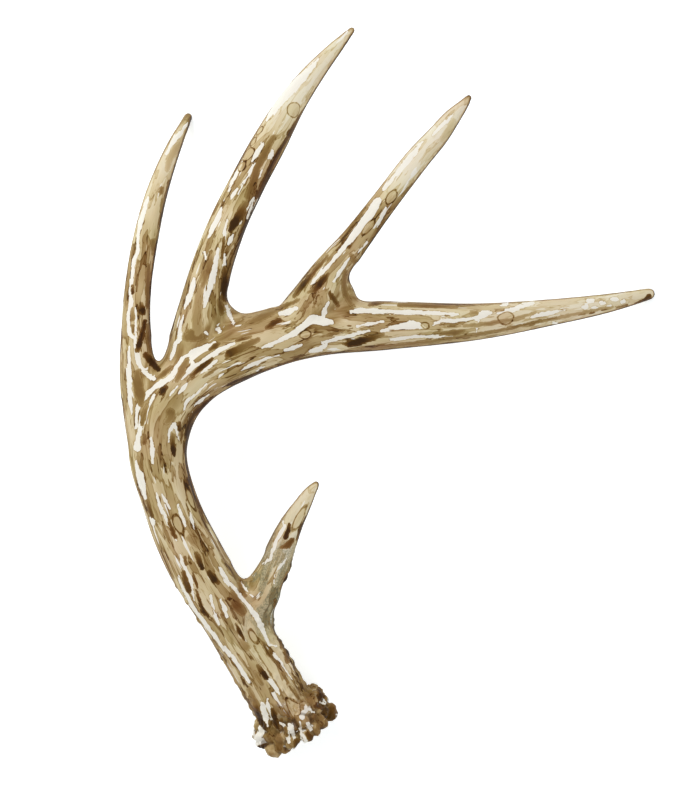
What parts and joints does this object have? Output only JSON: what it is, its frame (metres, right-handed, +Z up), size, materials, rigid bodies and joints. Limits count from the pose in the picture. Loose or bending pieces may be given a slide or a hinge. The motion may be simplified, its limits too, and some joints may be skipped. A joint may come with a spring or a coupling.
{
  "type": "antler",
  "caption": "Shed deer antler with a knobbly burr, an arched main beam and curved tapering tines, resting on its burr and tips.",
  "frame": {"origin": "on the surface the antler lies on, under the middle of its bounding box", "axes": "+Z up from the surface, +Y from the burr towards the longest tine's tip, +X towards the beam's tip"},
  "size_m": [0.357, 0.4875, 0.0996],
  "materials": {
    "antler_bone": "satin"
  },
  "bodies": {
    "root": {"lower_beam": "antler_bone", "middle_beam": "antler_bone", "upper_beam": "antler_bone", "brow_tine": "antler_bone", "second_tine": "antler_bone", "third_tine": "antler_bone", "fourth_tine": "antler_bone"}
  },
  "joints": []
}
